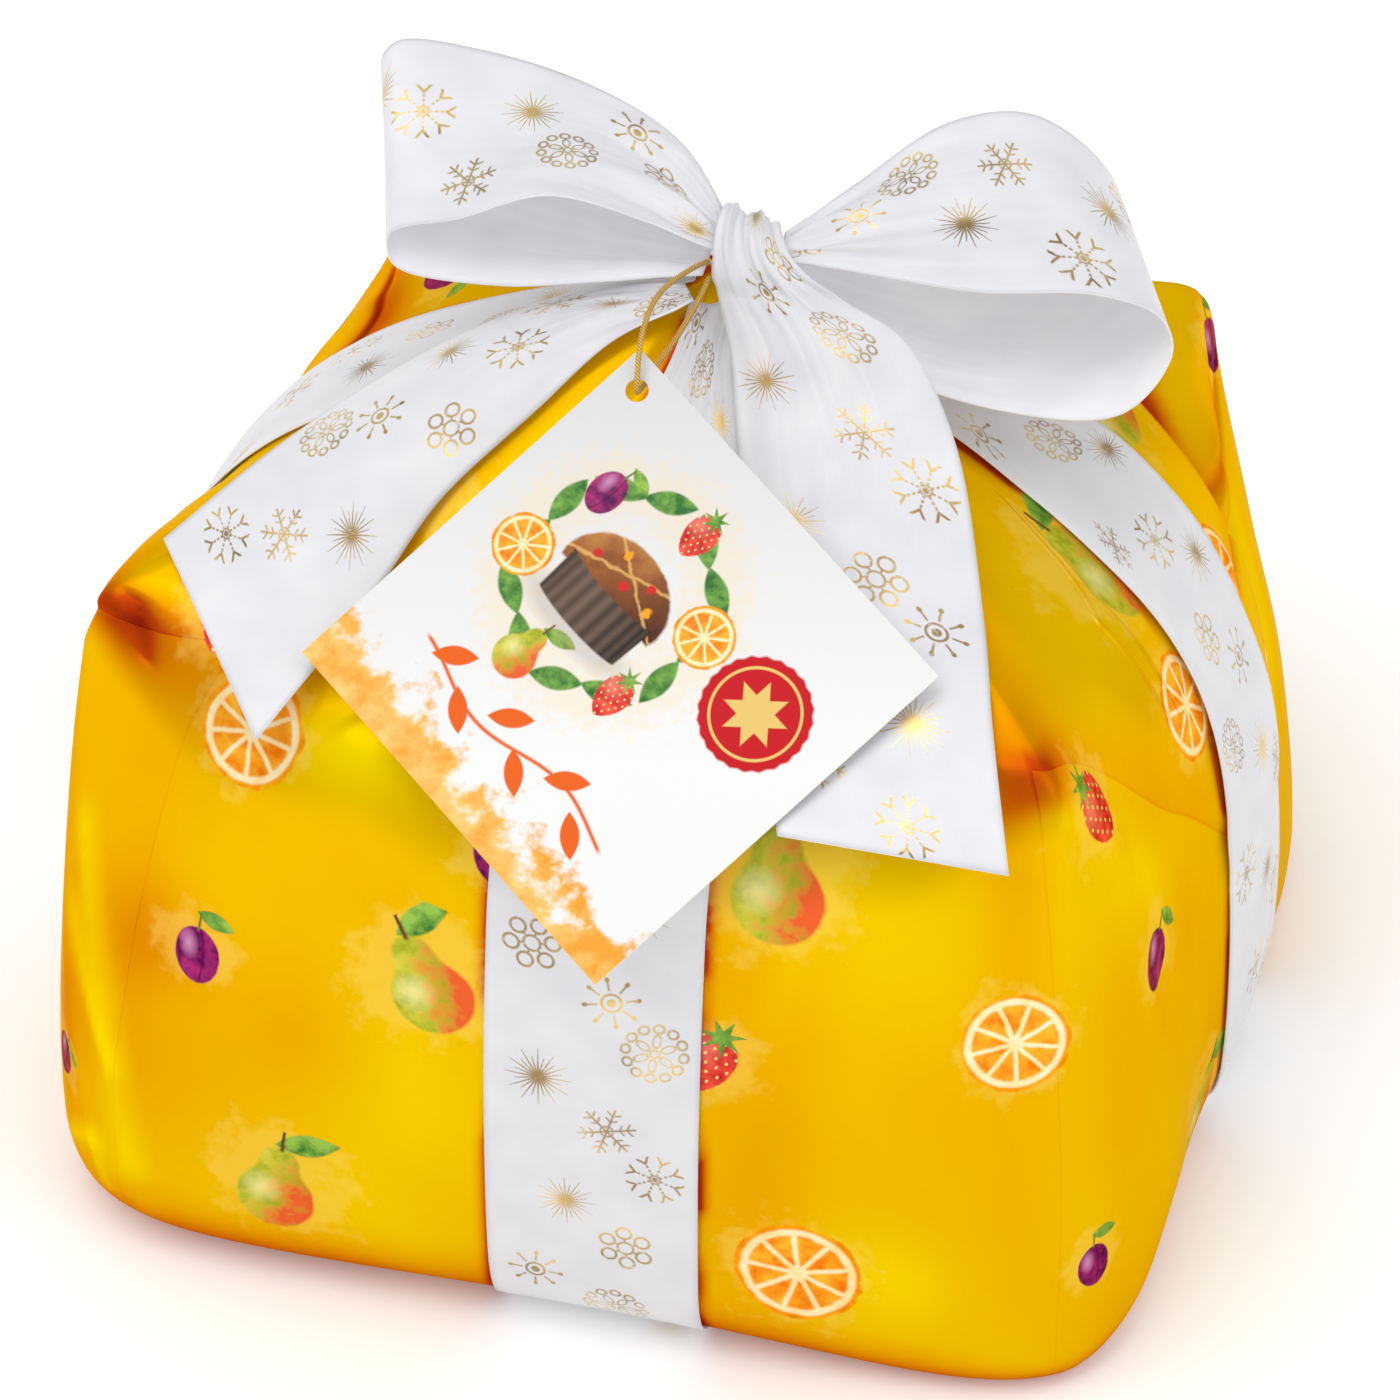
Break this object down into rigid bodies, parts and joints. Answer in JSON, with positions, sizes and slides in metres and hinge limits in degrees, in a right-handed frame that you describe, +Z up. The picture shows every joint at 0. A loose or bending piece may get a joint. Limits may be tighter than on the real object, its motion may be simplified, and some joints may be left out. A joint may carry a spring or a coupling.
{
  "type": "gift-wrapped panettone",
  "caption": "Shut gift pack of a fruit panettone: soft glossy wrap with folded ears, ribbon tied crosswise, bow with loops and tails, square hang tag on a thin cord.",
  "frame": {"origin": "middle of the pack's footprint, on the surface that it stands on", "axes": "+Z up, -Y toward the front with the tag, +X to the right seen from the front"},
  "size_m": [0.2644, 0.2803, 0.2301],
  "materials": {
    "wrap": "printed glossy foil wrap, yellow to orange, with fruit motifs",
    "ribbon": "white satin ribbon with gold snowflakes and stars",
    "card": "smooth printed white card",
    "cord": "thin gold elastic cord"
  },
  "bodies": {
    "root": {"wrapper": "wrap", "ribbon_lengthwise": "ribbon", "ribbon_crosswise": "ribbon", "bow_knot": "ribbon", "bow_loop_left": "ribbon", "bow_loop_right": "ribbon", "tail_left": "ribbon", "tail_right": "ribbon", "tag": "card", "tag_cord": "cord"}
  },
  "joints": []
}
